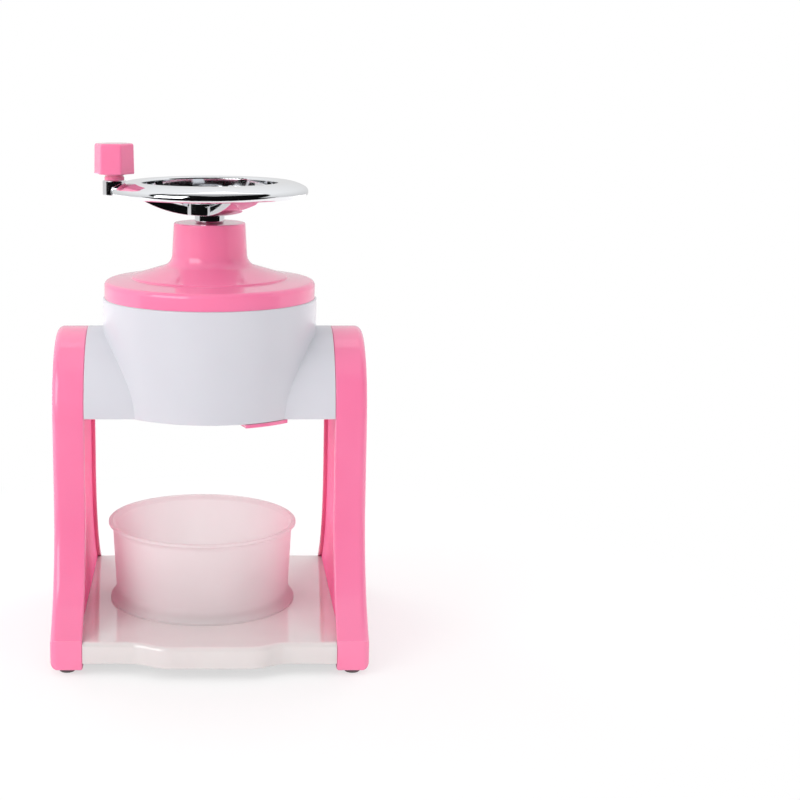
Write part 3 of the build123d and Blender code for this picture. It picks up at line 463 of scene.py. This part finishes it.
pinkAbs = mouldedAbs("pinkMouldedAbs", pinkAbsSettings)
shadedCoverAbs = mouldedAbs("pinkShadedCoverAbs", shadedCoverAbsSettings)
whiteAbs = mouldedAbs("whiteMouldedAbs", whiteAbsSettings)
milky = milkyStyrene(milkyStyreneSettings)
frosted = frostedPolypropylene(frostedPolypropyleneSettings)
chrome = chromePlate(chromePlateSettings)
steel = groundSteel(groundSteelSettings)
rubber = mouldedRubber(mouldedRubberSettings)
giveMaterial(
    pinkAbs, "left_frame", "right_frame", "screw_plugs", "blade_seat", "lid", "knob", "knob_cap",
)
# the covers take the pink copy whose colour paints the shade inside the bay
giveMaterial(shadedCoverAbs, "left_frame_cover", "right_frame_cover")
giveMaterial(whiteAbs, "housing", "press_plate", "neck_bush", "thrust_washer")
giveMaterial(milky, "base_plate")
giveMaterial(frosted, "bowl")
giveMaterial(chrome, "handwheel", "hub_collar", "hub_cap")
giveMaterial(
    steel, "frame_screws", "blade", "blade_screws", "press_spring", "crank_shaft", "press_spikes",
    "press_screw", "hub_screw", "knob_axle",
)
giveMaterial(rubber, "rubber_feet")
print("materials given")


def makeSpring():
    wire = bpy.data.objects.new("springWire", cadNodes["press_spring"].data.copy())
    scene.collection.objects.link(wire)
    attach(wire, "lid")
    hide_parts("press_spring")
    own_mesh(wire)


makeSpring()
print("spring made")


# Studio: white sweep under and behind, a wide soft light at the left, weaker ones around it.
# The camera's side of the room is dark, which only mirrored rays show.
studioSettings = {
    "floorSize": 8.0,
    "floorColour": "#F6F4F4",
    "darkColour": "#0B0B0C",
    "darkFrom": 0.26,  # metres in front of the shaver where the sweep ends, in reflections only
    "shadowReach": 0.16,  # metres from the shaver within which the camera sees the shadow
    "shadowFade": 0.34,  # metres from the shaver where the sweep is plain white
    "shadowShare": 0.38,
    "roomSide": (-0.85, 0.18, 0.50),  # where most of the room's light comes from, as a direction
    "roomStrength": (0.42, 0.94),  # away from that side and on it
    "mirrorWhite": (0.74, 0.98),  # in reflections, level and overhead
    "overheadFrom": 0.8,  # height of a direction from which it counts as overhead
    "darkSide": (0.0, -0.82, 0.57),  # middle of the dark side, as a direction
    "darkEdge": (0.37, 0.42),  # agreement with that direction at which the dark starts and is full
    "lights": {
        "keyLight": {"place": (-1.05, -0.95, 0.75), "size": (1.0, 1.0), "watts": 9.5, "mirrored": True},
        "topLight": {"place": (0.1, -0.1, 1.3), "size": (1.2, 1.2), "watts": 2.0, "mirrored": True},
        "fillLight": {"place": (0.95, -1.05, 0.25), "size": (0.8, 0.5), "watts": 3.0, "mirrored": False},
        "backLeft": {"place": (-0.8, 0.9, 0.35), "size": (0.8, 0.6), "watts": 6.0, "mirrored": False},
        "backRight": {"place": (0.8, 0.9, 0.35), "size": (0.8, 0.6), "watts": 6.0, "mirrored": False},
    },
    "aim": (0.0, 0.0, 0.14),
}


def makeFloor(settings):
    half = settings["floorSize"] / 2
    mesh = bpy.data.meshes.new("sweep")
    corners = [(-half, -half, 0), (half, -half, 0), (half, half, 0), (-half, half, 0)]
    mesh.from_pydata(corners, [], [(0, 1, 2, 3)])
    floor = bpy.data.objects.new("sweep", mesh)
    scene.collection.objects.link(floor)
    material = newMaterial("whiteSweep")
    tree = material.node_tree
    place = addNode(tree, "ShaderNodeTexCoord").outputs["Object"]
    along = addNode(tree, "ShaderNodeSeparateXYZ", links={0: place})
    far = addNode(
        tree, "ShaderNodeMath", {1: -settings["darkFrom"]}, {0: along.outputs["Y"]},
        operation="LESS_THAN",
    )
    ray = addNode(tree, "ShaderNodeLightPath")
    reflected = addNode(
        tree, "ShaderNodeMath", links={0: far.outputs[0], 1: ray.outputs["Is Glossy Ray"]},
        operation="MULTIPLY",
    )
    paper = addNode(tree, "ShaderNodeBsdfDiffuse", {"Color": linearColour(settings["floorColour"])})
    dark = addNode(
        tree, "ShaderNodeEmission", {"Color": linearColour(settings["darkColour"]), "Strength": 1.0},
    )
    white = addNode(tree, "ShaderNodeEmission", {"Color": (1, 1, 1, 1), "Strength": 1.0})
    distance = addNode(tree, "ShaderNodeVectorMath", links={0: place}, operation="LENGTH")
    plain = addNode(
        tree, "ShaderNodeMapRange",
        {
            "From Min": settings["shadowReach"], "From Max": settings["shadowFade"],
            "To Min": 1 - settings["shadowShare"], "To Max": 1.0,
        },
        {"Value": distance.outputs["Value"]}, interpolation_type="SMOOTHSTEP",
    )
    seen = addNode(
        tree, "ShaderNodeMath", links={0: plain.outputs[0], 1: ray.outputs["Is Camera Ray"]},
        operation="MULTIPLY",
    )
    first = addNode(
        tree, "ShaderNodeMixShader",
        links={0: reflected.outputs[0], 1: paper.outputs[0], 2: dark.outputs[0]},
    )
    second = addNode(
        tree, "ShaderNodeMixShader", links={0: seen.outputs[0], 1: first.outputs[0], 2: white.outputs[0]},
    )
    addNode(tree, "ShaderNodeOutputMaterial", links={"Surface": second.outputs[0]})
    mesh.materials.append(material)


def makeWorld(settings):
    world = bpy.data.worlds.new("studio")
    scene.world = world
    world.use_nodes = True
    tree = world.node_tree
    tree.nodes.clear()
    ray = addNode(tree, "ShaderNodeLightPath")
    direction = addNode(tree, "ShaderNodeTexCoord").outputs["Generated"]
    front = addNode(
        tree, "ShaderNodeVectorMath", {1: settings["darkSide"]}, {0: direction}, operation="DOT_PRODUCT",
    )
    edgeFrom, edgeTo = settings["darkEdge"]
    dark = addNode(
        tree, "ShaderNodeMapRange", {"From Min": edgeFrom, "From Max": edgeTo},
        {"Value": front.outputs["Value"]},
    )
    level, overhead = settings["mirrorWhite"]
    height = addNode(tree, "ShaderNodeSeparateXYZ", links={0: direction})
    walls = addNode(
        tree, "ShaderNodeMapRange",
        {"From Min": 0.0, "From Max": settings["overheadFrom"], "To Min": level, "To Max": overhead},
        {"Value": height.outputs["Z"]},
    )
    mirrored = addNode(
        tree, "ShaderNodeMix", {7: linearColour(settings["darkColour"])},
        {0: dark.outputs[0], 6: walls.outputs[0]}, data_type="RGBA",
    )
    weak, strong = settings["roomStrength"]
    side = addNode(
        tree, "ShaderNodeVectorMath", {1: settings["roomSide"]}, {0: direction}, operation="DOT_PRODUCT",
    )
    share = addNode(
        tree, "ShaderNodeMapRange", {"From Min": -1.0, "From Max": 1.0, "To Min": weak, "To Max": strong},
        {"Value": side.outputs["Value"]},
    )
    room = addNode(tree, "ShaderNodeBackground", {"Color": (1, 1, 1, 1)}, {"Strength": share.outputs[0]})
    mirror = addNode(tree, "ShaderNodeBackground", {"Strength": 1.0}, {"Color": mirrored.outputs[2]})
    white = addNode(tree, "ShaderNodeBackground", {"Color": (1, 1, 1, 1), "Strength": 1.0})
    first = addNode(
        tree, "ShaderNodeMixShader",
        links={0: ray.outputs["Is Glossy Ray"], 1: room.outputs[0], 2: mirror.outputs[0]},
    )
    second = addNode(
        tree, "ShaderNodeMixShader",
        links={0: ray.outputs["Is Camera Ray"], 1: first.outputs[0], 2: white.outputs[0]},
    )
    addNode(tree, "ShaderNodeOutputWorld", links={"Surface": second.outputs[0]})


def makeLights(settings):
    for name, lamp in settings["lights"].items():
        data = bpy.data.lights.new(name, "AREA")
        data.shape = "RECTANGLE"
        data.size, data.size_y = lamp["size"]
        data.energy = lamp["watts"]
        light = bpy.data.objects.new(name, data)
        scene.collection.objects.link(light)
        light.location = lamp["place"]
        light.visible_glossy = lamp["mirrored"]
        towardsShaver = Vector(settings["aim"]) - Vector(lamp["place"])
        light.rotation_euler = towardsShaver.to_track_quat("-Z", "Y").to_euler()


makeFloor(studioSettings)
makeWorld(studioSettings)
makeLights(studioSettings)
scene.view_settings.view_transform = "Standard"
print("studio made")
